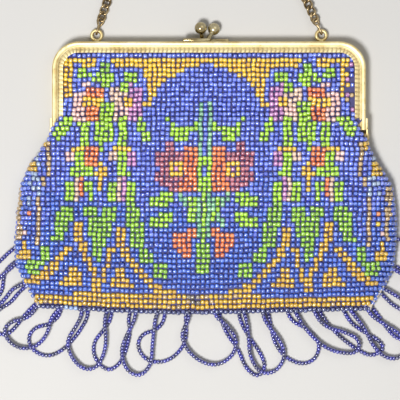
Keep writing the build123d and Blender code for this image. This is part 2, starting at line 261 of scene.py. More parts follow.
def curve_mesh(curve):
    """Mesh of a curve, which is then removed."""
    holder = bpy.data.objects.new("line", curve)
    bpy.context.scene.collection.objects.link(holder)
    bpy.context.view_layer.update()
    mesh = bpy.data.meshes.new_from_object(holder.evaluated_get(bpy.context.evaluated_depsgraph_get()))
    bpy.data.objects.remove(holder)
    bpy.data.curves.remove(curve)
    return mesh


def line_points(route):
    """Points along the smooth line whose control points are the route."""
    curve, spline = new_line("NURBS", route)
    curve.resolution_u = 16
    spline.order_u = 3
    spline.use_endpoint_u = True
    mesh = curve_mesh(curve)
    points = [v.co.copy() for v in mesh.vertices]
    bpy.data.meshes.remove(mesh)
    return points


def stations(points, pitch, start=0.0):
    """Places and directions at even steps along a line of points."""
    found = []
    travelled = 0.0
    target = start
    for here, there in zip(points, points[1:]):
        span = (there - here).length
        while span > 0 and travelled + span >= target:
            found.append((here.lerp(there, (target - travelled) / span), (there - here).normalized()))
            target += pitch
        travelled += span
    return found


string_glass = glass("strung_cobalt_glass", "#1414a4", "#090950", 0.25, 0.2)
string_bead = barrel("string_bead", 1.4 * mm, 0.93 * mm, 0.62, 8)
string_pitch = 1.42 * mm
# neighbours lie on two levels, so that they cross clear of each other
string_levels = (0.95 * mm, 3.05 * mm)
string_routes = [
    [(-0.0816, -0.0844), (-0.085, -0.0869), (-0.0888, -0.0907), (-0.0931, -0.0946), (-0.0965, -0.0997),
     (-0.096, -0.1056), (-0.0918, -0.1082), (-0.0884, -0.1043), (-0.088, -0.0988), (-0.0867, -0.0941),
     (-0.0816, -0.0907)],
    [(-0.0816, -0.0916), (-0.0854, -0.095), (-0.0901, -0.0988), (-0.0943, -0.1035), (-0.0943, -0.109),
     (-0.0901, -0.1107), (-0.0867, -0.1069), (-0.0833, -0.1022), (-0.0769, -0.1001)],
    [(-0.0769, -0.1009), (-0.0812, -0.1043), (-0.0846, -0.109), (-0.0901, -0.112), (-0.0935, -0.1167),
     (-0.0918, -0.1222), (-0.0863, -0.123), (-0.082, -0.1188), (-0.0778, -0.1128), (-0.0714, -0.1069)],
    [(-0.0722, -0.1065), (-0.0735, -0.1116), (-0.0778, -0.1158), (-0.0841, -0.1167), (-0.088, -0.1205),
     (-0.0854, -0.126), (-0.0795, -0.129), (-0.0727, -0.1273), (-0.0684, -0.1213), (-0.0676, -0.1145),
     (-0.0608, -0.1086)],
    [(-0.0625, -0.1082), (-0.0633, -0.1141), (-0.068, -0.1184), (-0.0748, -0.1196), (-0.0778, -0.1247),
     (-0.0748, -0.1303), (-0.068, -0.1324), (-0.0608, -0.1281), (-0.0552, -0.1213), (-0.051, -0.1137),
     (-0.0523, -0.1082)],
    [(-0.054, -0.1077), (-0.054, -0.1141), (-0.0574, -0.1201), (-0.0608, -0.1252), (-0.0591, -0.132),
     (-0.054, -0.1375), (-0.048, -0.1371), (-0.0446, -0.1307), (-0.0438, -0.1235), (-0.045, -0.1162),
     (-0.0425, -0.1082)],
    [(-0.0416, -0.1082), (-0.0412, -0.1154), (-0.0455, -0.1213), (-0.0497, -0.1264), (-0.0489, -0.1337),
     (-0.0429, -0.1388), (-0.0374, -0.1345), (-0.0349, -0.1277), (-0.0336, -0.1213), (-0.0349, -0.115),
     (-0.0319, -0.1086)],
    [(-0.031, -0.1086), (-0.031, -0.1154), (-0.0349, -0.1222), (-0.0378, -0.1294), (-0.0357, -0.1375),
     (-0.0298, -0.1409), (-0.0246, -0.1358), (-0.0242, -0.1277), (-0.0234, -0.1201), (-0.0229, -0.115),
     (-0.02, -0.109)],
    [(-0.0191, -0.109), (-0.0183, -0.1154), (-0.0221, -0.1209), (-0.0285, -0.1222), (-0.031, -0.1277),
     (-0.0272, -0.1337), (-0.02, -0.1349), (-0.0136, -0.1315), (-0.0093, -0.1247), (-0.0102, -0.1154),
     (-0.0093, -0.109)],
    [(-0.0085, -0.109), (-0.0081, -0.1158), (-0.0119, -0.1218), (-0.0102, -0.1281), (-0.0047, -0.1337),
     (0.003, -0.1362), (0.0102, -0.132), (0.0123, -0.1247), (0.0076, -0.1184), (0.0017, -0.1141),
     (0.0017, -0.1086)],
    [(0.0025, -0.1086), (0.0047, -0.115), (0.0076, -0.1226), (0.0128, -0.129), (0.0153, -0.1366),
     (0.0208, -0.1413), (0.0246, -0.1366), (0.0217, -0.1298), (0.0166, -0.123), (0.0128, -0.1158),
     (0.0119, -0.1086)],
    [(0.0132, -0.1086), (0.0161, -0.1154), (0.017, -0.1235), (0.0174, -0.132), (0.0217, -0.1392),
     (0.0285, -0.1388), (0.0327, -0.1324), (0.031, -0.1256), (0.0255, -0.1192), (0.0225, -0.1137),
     (0.0234, -0.1086)],
    [(0.0242, -0.1086), (0.0263, -0.1167), (0.0276, -0.1256), (0.0327, -0.1328), (0.0404, -0.1358),
     (0.0463, -0.1328), (0.0476, -0.1256), (0.0421, -0.1201), (0.0361, -0.1175), (0.0331, -0.1128),
     (0.034, -0.1086)],
    [(0.0349, -0.1086), (0.0382, -0.1158), (0.0429, -0.1222), (0.0493, -0.1281), (0.0569, -0.1307),
     (0.0638, -0.1303), (0.0646, -0.1247), (0.0578, -0.1213), (0.0501, -0.1196), (0.0455, -0.1145),
     (0.0429, -0.1082)],
    [(0.0446, -0.1082), (0.0493, -0.1162), (0.0552, -0.123), (0.0625, -0.1286), (0.0697, -0.1324),
     (0.0756, -0.1286), (0.0718, -0.1243), (0.065, -0.1209), (0.0591, -0.1162), (0.0557, -0.1082)],
    [(0.0569, -0.1077), (0.0616, -0.1137), (0.0667, -0.1201), (0.0697, -0.1269), (0.0752, -0.1328),
     (0.082, -0.1328), (0.0854, -0.1273), (0.0812, -0.1218), (0.0744, -0.1179), (0.0676, -0.1133),
     (0.0659, -0.1065)],
    [(0.0667, -0.1073), (0.0718, -0.1133), (0.0761, -0.1201), (0.0812, -0.1252), (0.0867, -0.1239),
     (0.0871, -0.1179), (0.0833, -0.1124), (0.0773, -0.1094), (0.0718, -0.1026)],
    [(0.0727, -0.1018), (0.0782, -0.1048), (0.0841, -0.1086), (0.0905, -0.1094), (0.0931, -0.1043),
     (0.0888, -0.1001), (0.0829, -0.0971), (0.0761, -0.0929)],
    [(0.0761, -0.092), (0.0812, -0.0941), (0.0867, -0.0967), (0.0926, -0.0954), (0.0948, -0.0899),
     (0.091, -0.0848), (0.0841, -0.0822), (0.0761, -0.081)],
]
for number, route in enumerate(string_routes, start=1):
    name = "bead_string_%02d" % number
    level = string_levels[(number + 1) % 2]
    points = line_points([(x, y, level) for x, y in route])
    length = sum((b - a).length for a, b in zip(points, points[1:]))
    step = length / round(length / string_pitch)
    places = stations(points, step, step / 2)
    luck = random.Random(number)
    shape = bmesh.new()
    for spot, direction in places:
        turn = direction.to_track_quat("X", "Z").to_matrix().to_4x4()
        size = 1 + luck.uniform(-0.04, 0.02)
        spin = Matrix.Rotation(luck.uniform(-0.2, 0.2), 4, "X")
        strew(shape, string_bead, Matrix.Translation(spot) @ turn @ spin @ Matrix.Diagonal((1, size, size, 1)))
    string = put(name, mesh_of(shape, name), [string_glass])
    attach(string, "rear_half")
    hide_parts("fringe_%02d" % number)


# Front of the bag: loom-woven seed beads, about 2 mm from column to column, on a dark thread ground. The
# cloth is stitched into the front frame half's channel, comes out over the ends of its legs and widens
# into the bag below. All numbers are millimetres, and the pattern's are steps of a pixel of the picture.
step_size = 0.425
step_x = 209
step_y = 47.5
thread_pitch = 2.0


def along(table, at):
    """Value between the entries of a table that runs from high to low."""
    if at >= table[0][0]:
        return table[0][1]
    for (a, low), (b, high) in zip(table, table[1:]):
        if at >= b:
            return low + (high - low) * (a - at) / (a - b)
    return table[-1][1]


# Outlines and heights of the bag, each from its top down, as (y, value)
left_outline = [
    (-3.5, -60.4), (-5.6, -61.7), (-9, -61.9), (-25, -61.9), (-29.1, -62.9), (-31.2, -64.2), (-33.4, -65.9),
    (-35, -67.2), (-40, -69.3), (-50.3, -76.9), (-58.9, -80.8), (-72, -82.3), (-83.9, -83.4),
    (-93.7, -82.3), (-102.2, -78), (-107.7, -74.8), (-111, -73.2),
]
right_outline = [
    (-3.5, 60.4), (-5.6, 61.7), (-9, 61.9), (-25, 61.9), (-30, 62.1), (-33, 63.5), (-37.2, 65.9),
    (-38.9, 67.2), (-42.7, 68.6), (-50.4, 72.9), (-58.9, 78.6), (-72, 80.3), (-82.7, 80.3),
    (-94.6, 79.1), (-104.3, 74), (-109.4, 70.6), (-111, 69.4),
]
crown_height = [
    (-28, 6.3), (-32, 9.2), (-38, 9.7), (-46, 10.4), (-60, 11), (-85, 11), (-94, 9.9), (-100, 8.3),
    (-105, 6.0), (-109, 4.2), (-112, 3.6),
]
seam_height = [(-32, 9.1), (-38, 8.3), (-41, 7.2), (-45, 4.6), (-52, 3.4), (-100, 3.3), (-109, 3.0)]
edge_round = [(-36, 1.0), (-42, 4.0), (-50, 8.0), (-60, 12.0), (-94, 12.0), (-104, 8.0), (-111, 5.0)]
back_outline_left = left_outline[:3] + [(-38.5, -61.4), (-42, -66.5)] + [p for p in left_outline if p[0] < -50]
back_outline_right = right_outline[:3] + [(-38.5, 61.4), (-42, 66.5)] + [p for p in right_outline if p[0] < -50]
back_height = [(-34, 1.95), (-45, 1.12)]
bead_half = 0.9
# the frame's legs hold the cloth down to here
legs_y = -28


def edge_fall(x, side, width):
    """How far the cloth has turned down at its edge: 1 is flat, 0 is the seam."""
    t = min(max((abs(x) - abs(side) + bead_half + width) / width, 0), 1)
    return math.sqrt(1 - t * t)


def front_height(x, y):
    """Height of the bead centres on the front."""
    top = along(crown_height, y)
    if y > legs_y:
        return top
    seam = min(along(seam_height, y), top)
    side = along(left_outline if x < 0 else right_outline, y)
    return seam + (top - seam) * edge_fall(x, side, along(edge_round, y))


def back_height_at(x, y):
    """Height of the bead centres on the back, which lies on the floor below the frame."""
    floor_level = along(back_height, y)
    if y > -40:
        return floor_level
    seam = min(along(seam_height, y), 3.0)
    side = along(back_outline_left if x < 0 else back_outline_right, y)
    return floor_level + (seam - floor_level) * (1 - edge_fall(x, side, 5.0))


def picture_to_mm(px, py):
    """Millimetres from picture steps."""
    return (px - step_x) * step_size, (step_y - py) * step_size


def hem_blue(row, luck):
    """Plain bead: more of the slate blue ones towards the hem."""
    return "low_blue" if luck.random() < (row - 165) / 90 else "blue"


def middle_line(py):
    """Where the woven pattern's middle column runs, in picture steps."""
    return 206.4 - 0.0181 * (py - 75)


hem_rise = [(373, 4), (300, 2), (250, 1), (207, 0), (170, 0), (110, 2), (60, 5), (33, 7), (12, 9)]


def row_level(row_py, px):
    """Rows near the hem curve up towards the sides, more on the left."""
    share = min(max((row_py - 150) / 160, 0), 1)
    return row_py - along(hem_rise, px) * share * share


def woven_places(height, left, right, rows):
    """Bead places, as row, x and y: out from the middle column, evenly along the cloth."""
    found = []
    for number, row in enumerate(rows):
        for side, outline in ((-1, left), (1, right)):
            start_px = middle_line(row)
            x0, y0 = picture_to_mm(start_px, row)
            samples = [(0.0, x0, y0)]
            x = x0
            while True:
                x += side * 0.25
                px = x / step_size + step_x
                y = picture_to_mm(px, row_level(row, px))[1]
                if abs(x) > abs(along(outline, y)) - bead_half:
                    break
                last = samples[-1]
                lift = height(x, y) - height(last[1], last[2])
                samples.append((last[0] + math.hypot(0.25, lift), x, y))
            full = samples[-1][0]
            count = max(round(full / thread_pitch), 1)
            spare = full - count * thread_pitch
            k = 0
            for i in range(0 if side > 0 else 1, count + 1):
                # the outer eight columns share what the outline leaves over
                target = min(i * thread_pitch + spare * min(max((i - count + 8) / 8, 0), 1), full)
                while k < len(samples) - 2 and samples[k + 1][0] < target:
                    k += 1
                a, b = samples[k], samples[k + 1]
                t = min(max((target - a[0]) / (b[0] - a[0]), 0), 1)
                found.append((number, a[1] + (b[1] - a[1]) * t, a[2] + (b[2] - a[2]) * t))
    return found


# Rows of the front, in picture steps: a little further apart towards the hem
front_rows = []
level = 55.7
while level < 313.5:
    front_rows.append(level)
    level += 4.87 + 0.37 * (level - 55) / 255

# The left half of the pattern, colour by colour; later fields lie over earlier ones
pattern = [
    ("bronze", [
        ((47.5, 143), (51.5, 178)), ((42.5, 178), (47, 187)), ((36.7, 190), (41, 245)),
        ((17.5, 185), (22, 242)),
    ]),
    ("pale_teal", [((28, 153), (40, 197)), ((28, 195), (32, 205))]),
    ("border", [((29, 162), (37, 170))]),
    ("red", [((27.5, 210), (31.5, 216))]),
    ("amber", [((26, 220.5), (30, 225.5))]),
    ("pink", [((24.5, 231.5), (28.5, 236.5))]),
    ("border", [((24, 242), (28, 251)), ((18.5, 251), (31, 260))]),
    ("pale_blue", [((64, 55), (68.5, 59))]),
    ("amber", [
        [(112.5, 57), (212, 57), (212, 64), (193, 66), (177, 74), (165, 81), (157.2, 90), (152.5, 100),
        (148.5, 108), (146.5, 108), (146, 80), (144, 70), (140, 66), (112.5, 66)], ((63, 57), (72, 97)),
        ((72, 57), (98, 63)), ((84, 57), (97, 69)), ((143.5, 103.5), (148.5, 108.5)),
    ]),
    ("blue", [((98, 52), (110, 58.5))]),
    ("green", [(81.5, 73, 6.2, 5.2), [(85, 74), (89, 74), (97, 83), (93, 84.5)], (106, 77, 8, 10)]),
    ("moss", [((101, 66), (111, 71.5))]),
    ("green", [((123, 71.5), (138, 80.5)), [(125, 78), (129.5, 79), (120, 87), (116.5, 86)]]),
    ("pink", [((71, 90), (86, 120)), ((81, 81.5), (90, 88))]),
    ("red", [((85, 86.5), (103, 121))]),
    ("amber", [((82, 95.5), (103, 105.5))]),
    ("pale_pink", [((108, 89.5), (127, 122))]),
    ("pink", [((113, 107.5), (128, 117.5))]),
    ("plum", [((127, 87.5), (143, 120.5)), ((123, 84.5), (131, 90.5))]),
    ("green", [((118, 84.5), (128, 93))]),
    ("amber", [((122.5, 97.5), (131.5, 108.5))]),
    ("green", [
        [(70, 114), (73, 121), (67, 132), (58, 140), (54, 134), (60, 122)], ((79.6, 120), (88.2, 145)),
        ((102, 102.5), (113, 120.5)), ((93, 120), (115, 140)), ((99.5, 140), (105, 153.5)),
        ((120.6, 116.5), (129.2, 145)), [(135, 118), (140, 117.5), (152, 138), (149, 143), (142, 139)],
    ]),
    ("amber", [((73, 144.5), (93, 150.5)), ((115, 145.5), (133.5, 151))]),
    ("pink", [((66.5, 150), (75, 163.5))]),
    ("green", [((75, 150), (85, 176)), ((71.5, 167.5), (92, 177.5))]),
    ("red", [((85, 148), (97.5, 168.5))]),
    ("pale_pink", [((75.5, 175), (81, 202.5))]),
    ("red", [((81, 175), (86.5, 198.5))]),
    ("green", [((65.5, 182.5), (73.5, 200.5)), ((87, 182.5), (94.5, 200.5))]),
    ("pale_pink", [((108.5, 150.5), (120, 163.5))]),
    ("green", [((119, 150.5), (129, 177.5))]),
    ("plum", [((129, 150.5), (137.5, 165.5))]),
    ("pale_pink", [((116.5, 177), (122, 203.5))]),
    ("plum", [((122, 177), (128, 203.5))]),
    ("green", [((107.5, 181.5), (117, 202.5)), ((128, 181.5), (137.5, 202.5))]),
    ("amber", [((99, 161.5), (103.7, 193.5)), ((94.5, 169.5), (108, 178.5))]),
    ("moss", [
        [(61, 206.5), (73, 206.5), (73, 217), (68, 228), (62, 243), (53, 243), (55, 225)], [(84, 206),
        (97, 206), (99, 218), (103, 222), (104, 207.5), (115, 207.5), (115, 220), (110, 235), (105, 246),
        (98, 262), (96, 262), (94, 243), (88, 225)], [(125, 205), (137, 205), (142, 225), (143, 240),
        (147, 250), (151, 260), (147, 261), (140, 251), (133, 247), (130, 232), (126, 218)],
        ((142, 251), (151, 263)), ((152, 266), (165, 278)), ((41.5, 246.5), (50.5, 262.5)),
        ((27.5, 261.5), (40.5, 272.5)),
    ]),
    ("teal", [((197, 100), (201.5, 155)), ((206.4, 100), (211, 155))]),
    ("green", [((198.5, 155), (214, 192))]),
    ("blue", [((203, 167.5), (210, 177.5))]),
    ("green", [
        [(166, 119), (171, 119), (174, 128), (183, 130), (186, 126), (197, 124), (198, 129), (191, 134),
        (188, 143), (179, 143), (172, 134)],
    ]),
    ("maroon", [
        [(166, 143.5), (175, 143.5), (177, 151), (186, 151), (187, 147), (197, 147), (198.5, 190),
        (181, 189), (179, 194), (172, 193), (170, 188), (163, 187), (157, 182), (155, 175.5), (161, 170),
        (155.5, 165), (154.5, 155), (162, 153), (165.5, 149.5)],
    ]),
    ("red", [[(181.5, 152), (187, 146.5), (198.5, 146.5), (198.5, 190), (179, 190), (183, 178)]]),
    ("amber", [((167.5, 162.5), (182.5, 177.5))]),
    ("plum", [((172.5, 167.5), (178, 172.8))]),
    ("green", [
        [(149, 199), (158, 199), (166, 190), (172, 192), (172, 203), (163, 207), (153, 206)], [(148, 216),
        (171, 215), (171, 222), (166, 228), (154, 229), (149, 222)],
    ]),
    ("teal", [[(178, 195), (183, 194), (188, 205), (184, 208)]]),
    ("green", [[(188.5, 199), (194, 195), (196.5, 206), (195.5, 222), (190, 222), (186, 211)]]),
    ("teal", [((196, 192), (199.5, 240))]),
    ("green", [((200.5, 190), (208.5, 246))]),
    ("red", [
        [(175.5, 232), (184, 230), (186.5, 235), (190, 229.5), (195.5, 230), (195, 239), (190.5, 244),
        (190, 257), (183, 257.5), (179, 250), (172, 247), (171.5, 238)],
    ]),
    ("moss", [((195, 245), (209, 272.5))]),
    ("border", [
        ((73, 223.5), (82.5, 243.5)), [(68, 244), (60, 252), (54, 259), (48, 266), (42, 272), (34, 277),
        (26, 280), (26, 286.5), (38, 284), (47, 279), (53, 273), (60, 265), (67, 257), (77, 247)],
        [(79, 243), (85, 243), (88, 252), (92, 262), (96, 272), (99, 280), (102, 288), (102, 293),
        (94, 293), (93, 284), (90, 274), (86, 264), (82, 254)], ((115, 228), (123.5, 247.5)), [(110, 247),
        (115.5, 247), (112, 260), (108.5, 270), (104.5, 280), (101, 292), (94, 292), (98.5, 280),
        (103, 270), (107.5, 258)], [(120, 247), (130, 247), (132, 256), (139, 264), (147.5, 275),
        (156, 283), (166, 288), (176, 290), (176, 297), (160, 295), (149, 289), (141, 280), (134, 270),
        (127, 260), (122, 254)], [(71, 266.5), (79, 266.5), (81, 278), (82, 286), (60, 286), (61, 281),
        (67, 274)], [(116, 269.5), (124.5, 269.5), (128, 279), (134, 285), (135, 289), (112, 289),
        (113, 280)],
    ]),
]
# and what is on one side only
one_sided = [
    ("amber", (46, 142, 3.5, 3)),
    ("amber", (365.5, 146, 3.5, 3.5)),
    ("border", [(372, 161), (378, 161), (384, 171), (381, 177), (372, 177)]),
    ("teal", [
        (205, 192), (209, 191), (215, 197), (218, 210), (223, 219), (226, 225), (222, 228), (217, 220),
        (213, 212), (211, 199),
    ]),
    ("grey", ((185, 293), (199, 305.5))),
    ("amber", ((184, 302), (190, 307))),
    ("dark_blue", ((48.5, 57), (52, 60))),
]


def inside(px, py, outline):
    """Whether a bead falls in a field: four numbers are an oval, two corners a box, more a closed outline."""
    if isinstance(outline[0], (int, float)):
        cx, cy, rx, ry = outline
        return ((px - cx) / rx) ** 2 + ((py - cy) / ry) ** 2 <= 1
    if len(outline) == 2:
        (x0, y0), (x1, y1) = outline
        return x0 <= px <= x1 and y0 <= py <= y1
    hit = False
    for (x0, y0), (x1, y1) in zip(outline, outline[1:] + outline[:1]):
        if (y0 > py) != (y1 > py) and px < x0 + (x1 - x0) * (py - y0) / (y1 - y0):
            hit = not hit
    return hit


bead_colours = {
    "blue": glass("periwinkle_glass", "#7c94fb", "#4054c6"),
    "low_blue": glass("slate_blue_glass", "#4f7ae6", "#2a4cb4"),
    "pale_blue": glass("pale_blue_glass", "#a9c4f2", "#83a2dc"),
    "dark_blue": glass("dark_blue_glass", "#39458a", "#242c63"),
    "amber": glass("honey_glass", "#fcd830", "#e2ac22"),
    "border": glass("gold_lustre_glass", "#eec220", "#c8981a"),
    "green": glass("leaf_green_glass", "#bcf030", "#8cc01c"),
    "moss": glass("moss_green_glass", "#a0d834", "#72a822"),
    "teal": glass("teal_green_glass", "#9cd6a0", "#5aa07e"),
    "pale_teal": glass("pale_teal_glass", "#b4c8dc", "#8098c8"),
    "red": glass("coral_red_glass", "#fa9450", "#dc6a34"),
    "maroon": glass("old_rose_glass", "#cc7888", "#9c5068"),
    "pink": glass("dusty_pink_glass", "#fcd8cc", "#e2b2ae"),
    "pale_pink": glass("pale_pink_glass", "#f0d2b8", "#ccaa98"),
    "plum": glass("plum_glass", "#dc9ad4", "#a86ca8"),
    "grey": glass("worn_grey_glass", "#988e7c", "#5e564c"),
    "bronze": glass("bronze_lustre_glass", "#d6b47c", "#a48a5e"),
}
colour_order = list(bead_colours)
woven_bead = barrel("woven_bead", 1.9 * mm, 1.05 * mm, 0.6)


def thread_drift(x, y):
    """Slow wander of the threads, up to about a third of a millimetre, more where flowers pull the cloth."""
    pulled = 1 + 1.2 * math.exp(-((abs(x) - 44) / 16) ** 2 - ((y + 24) / 16) ** 2)
    return (
        pulled * (0.14 * math.sin(y * 0.61 + x * 0.19) + 0.09 * math.sin(x * 0.83 - y * 0.37 + 2)),
        pulled * (0.13 * math.sin(x * 0.47 + 1.3 * math.sin(y * 0.23)) + 0.09 * math.sin(x * 1.13 + y * 0.71)),
    )


def weave_beads(name, places, height, colour_at, seed, facing):
    """One piece with a bead at every place, turned with the cloth's slope and slightly uneven."""
    luck = random.Random(seed)
    shape = bmesh.new()
    faces = len(woven_bead.polygons)
    for number, x, y in places:
        colour = colour_at(number, x, y, luck)
        if colour is None:
            continue
        across = Vector((0.5, 0, height(x + 0.25, y) - height(x - 0.25, y))).normalized()
        down = Vector((0, 0.5, height(x, y + 0.25) - height(x, y - 0.25))).normalized()
        up = across.cross(down).normalized()
        turn = Matrix((across, up.cross(across), up)).transposed().to_4x4()
        wobble = Matrix.Rotation(luck.uniform(-0.09, 0.09), 4, "Z")
        wobble = wobble @ Matrix.Rotation(luck.uniform(-0.14, 0.14), 4, "X")
        drift = thread_drift(x, y)
        x += drift[0] + luck.uniform(-0.13, 0.13)
        y += drift[1] + luck.uniform(-0.13, 0.13)
        spot = Vector((x, y, height(x, y) + facing * luck.uniform(0, 0.15)))
        wide = 1 + luck.uniform(-0.08, 0.06)
        thick = 1 + luck.uniform(-0.06, 0.04)
        woven_bead.polygons.foreach_set("material_index", [colour_order.index(colour)] * faces)
        strew(
            shape, woven_bead,
            Matrix.Translation(spot * mm) @ turn @ wobble @ Matrix.Diagonal((wide, thick, thick, 1)),
        )
    return put(name, mesh_of(shape, name), list(bead_colours.values()))


def front_colour(number, x, y, luck):
    """Pattern colour of a bead on the front; the two halves mirror each other."""
    px = x / step_size + step_x
    row = front_rows[number]
    px_left = middle_line(row) - abs(px - middle_line(row))
    py = row_level(row, px_left)
    colour = hem_blue(row, luck)
    for name, outlines in pattern:
        # leaves reach a little past their outlines, where the cloth pulls them open
        reach = {"green": 0.35, "moss": 0.7, "border": 0.2}.get(name, 0)
        spots = [(px_left + a * reach, py + b * reach) for a, b in ((1, 0), (-1, 0), (0, 1), (0, -1))]
        if any(inside(*spot, outline) for outline in outlines for spot in spots):
            colour = name
    if colour == "pale_teal" and luck.random() < 0.35:
        colour = "blue"
    for name, outline in one_sided:
        if inside(px, step_y - y / step_size, outline):
            colour = name
    if number == len(front_rows) - 1:
        # narrow last row that the fringe is sewn to
        colour = "pale_blue" if 64 < px < 79 else "dark_blue"
    elif colour != "grey" and number >= len(front_rows) - (4 if 75 < px < 260 else 3) and 33 < px < 373:
        # gold border, one row deeper in the middle, with a few dull beads
        colour = "bronze" if luck.random() < 0.08 else "border"
    if 344 < px < 358 and 56 < py < 112:
        # worn and puckered beside the right leg: a few beads are gone, and the bronze and plum beads and bare
        # spots there also paint the shade in the folds
        chance = luck.random()
        if chance < 0.22:
            colour = "bare"
        elif chance < 0.6:
            colour = "bronze" if chance < 0.45 else "plum"
    return None if colour == "bare" else colour


front_places = woven_places(front_height, left_outline, right_outline, front_rows)
front_beads = weave_beads("front_beads", front_places, front_height, front_colour, 11, 1)


# Thread ground of the front: dark cotton warp that the beads sit on, seen as fine lines between them.
# The same grid, a little deeper, makes the lining.
corner_radius = 9.05
corner_middle = 64.4 - corner_radius


def cloth_mesh(name, height, left, right, top_y, side_at_top, drop, columns=80, rows=60):
    """Sheet that keeps to a height, between two outlines."""
    shape = bmesh.new()
    bmesh.ops.create_grid(shape, x_segments=columns, y_segments=rows, size=1)
    for vert in shape.verts:
        low_x = step_x + vert.co.x * 80 / step_size
        bottom = picture_to_mm(0, row_level(front_rows[-1] + 2, low_x))[1]
        y = top_y + (bottom - top_y) * (1 - vert.co.y) / 2
        if y > legs_y:
            # round corners, as the frame's
            corner = side_at_top - corner_middle
            reach_right = corner_middle + math.sqrt(max(corner ** 2 - max(y + corner_radius, 0) ** 2, 0))
            reach_left = -reach_right
        else:
            reach_left = along(left, y) + 0.5
            reach_right = along(right, y) - 0.5
            if y > -32:
                reach_left = min(reach_left, -side_at_top)
                reach_right = max(reach_right, side_at_top)
        x = reach_left + (reach_right - reach_left) * (vert.co.x + 1) / 2
        vert.co = Vector((x, y, height(x, y) + drop)) * mm
    return mesh_of(shape, name)


def cloth_material(name, light, dark, spacing, gloss):
    """Plain woven thread: fine crossing ridges, matte, with painted shade in the dips between them."""
    material, tree, output = new_material(name)
    place = add_node(tree, "TexCoord").outputs["Object"]
    # the wave texture repeats every 0.314 m at a scale of 1
    inputs = {"Vector": place, "Scale": 0.314 / spacing, "Distortion": 0.6, "Detail": 1}
    along_x, along_y = (
        add_node(tree, "TexWave", inputs, bands_direction=direction).outputs["Fac"] for direction in "XY"
    )
    weave = combined(tree, "MULTIPLY", along_x, along_y)
    # the colour follows the bump's height: the dips are painted darker, as painted shade
    add_skin(tree, output, {
        "Base Color": mixed(tree, weave, linear(dark), linear(light)),
        "Normal": bumped(tree, weave, 0.4, 0.2 * mm),
        "Roughness": gloss,
        "Sheen Weight": 0.2,
    })
    return material


thread_cotton = cloth_material("dark_warp_thread", "#6c6896", "#403e70", 0.5 * mm, 0.9)
front_ground = put(
    "front_ground",
    cloth_mesh("front_ground", front_height, left_outline, right_outline, 0.45, 64.9, -0.55),
    [thread_cotton],
)
for piece in (front_beads, front_ground):
    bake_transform(piece)
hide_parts("front_panel", "pouch")


# Back of the bag: the same beads in plain blue, with the gold rows along the hem. It is stitched to the
# rear half and lies on its beads.
def back_colour(number, x, y, luck):
    """Plain blue with gold rows and a dark edging row at the hem."""
    if number == len(front_rows) - 1:
        return "dark_blue"
    if number >= len(front_rows) - 4:
        return "border"
    return hem_blue(front_rows[number], luck)


back_places = woven_places(back_height_at, back_outline_left, back_outline_right, front_rows)
back_beads = weave_beads("back_beads", back_places, back_height_at, back_colour, 12, 0)
back_ground = put(
    "back_ground",
    cloth_mesh("back_ground", back_height_at, back_outline_left, back_outline_right, 0.45, 64.9, 0.55),
    [thread_cotton],
)
for piece in (back_beads, back_ground):
    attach(piece, "rear_half")
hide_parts("pouch")

# Lining: plain ivory cotton, two layers joined at the sides and the bottom, sewn to the frame halves
lining_cotton = cloth_material("ivory_lining_cotton", "#e2d8c4", "#c9bda6", 0.4 * mm, 0.85)
front_lining = put(
    "front_lining",
    cloth_mesh("front_lining", front_height, left_outline, right_outline, 0.0, 64.4, -1.3, 60, 44),
    [lining_cotton],
)
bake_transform(front_lining)
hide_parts("lining_front", "lining_pouch")
back_lining = put(
    "back_lining",
    cloth_mesh("back_lining", back_height_at, back_outline_left, back_outline_right, 0.0, 64.4, 1.3, 60, 44),
    [lining_cotton],
)
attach(back_lining, "rear_half")
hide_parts("lining_pouch")


# Frame halves: pressed from brass sheet as a channel open to the cloth, with a smooth raised bead outside
# and a band of stamped ribs inside, once gilt and now worn pale. Each half ends in two hinge ears.
def worn_metal(name, light, dark, tarnish, roughness):
    """Old plated brass: pale where it is rubbed, yellower patches, and tarnish left in the grooves."""
    material, tree, output = new_material(name)
    patches = noise(tree, 120, 3, 0.6)
    tint = mixed(tree, ranged(tree, patches, 0.35, 0.62), linear(dark), linear(light))
    # tarnish lies in the grooves and in specks of about half a millimetre
    groove = add_node(tree, "Attribute", attribute_name="groove").outputs["Fac"]
    specks = ranged(tree, noise(tree, 900, 2, 0.7), 0.58, 0.75, 0, 0.45)
    depth = combined(tree, "MAXIMUM", groove, specks)
    add_skin(tree, output, {
        "Base Color": mixed(tree, depth, tint, linear(tarnish)),
        "Roughness": ranged(tree, patches, 0.3, 0.7, roughness - 0.07, roughness + 0.1),
        "Normal": bumped(tree, patches, 0.15, 0.3 * mm),
        "Metallic": 1.0,
    })
    return material


def soften(shape, edges, offset, segments):
    """Rounds some edges of a shape."""
    bmesh.ops.bevel(
        shape, geom=edges, offset=offset, segments=segments, affect="EDGES", profile=0.5, material=-1,
        offset_type="OFFSET",
    )


def metal_mesh(shape, name, sharp_degrees):
    """Mesh of a shape drawn in millimetres; edges sharper than the angle stay crisp."""
    bmesh.ops.scale(shape, verts=shape.verts[:], vec=(mm, mm, mm))
    bmesh.ops.recalc_face_normals(shape, faces=shape.faces[:])
    mesh = mesh_of(shape, name)
    mesh.set_sharp_from_angle(angle=math.radians(sharp_degrees))
    return mesh


half_width = corner_middle + corner_radius
leg_length = 35.3
rib_pitch = 1.83
mid_level = 4.05
pivot_y = -38
channel_profile = [
    (-2.35, 0.38), (-2.15, 0.3), (-0.62, 0.3), (-0.42, 0.34), (-0.28, 0.1), (0.15, 0.0), (1.3, 0.0),
    (1.9, 0.1), (2.25, 0.36), (2.35, 0.8), (2.35, 3.9), (-1.55, 3.9), (-1.55, 3.3), (1.75, 3.3),
    (1.75, 0.75), (0.2, 0.6), (-0.3, 0.9), (-2.35, 0.9),
]
ear_outline = [(-36.65, 0.6), (-34.3, 0.6), (-34.3, 3.75)] + [
    (pivot_y + 2.4 * math.cos(math.radians(a)), mid_level + 2.4 * math.sin(math.radians(a)))
    for a in range(-5, 241, 12)
]


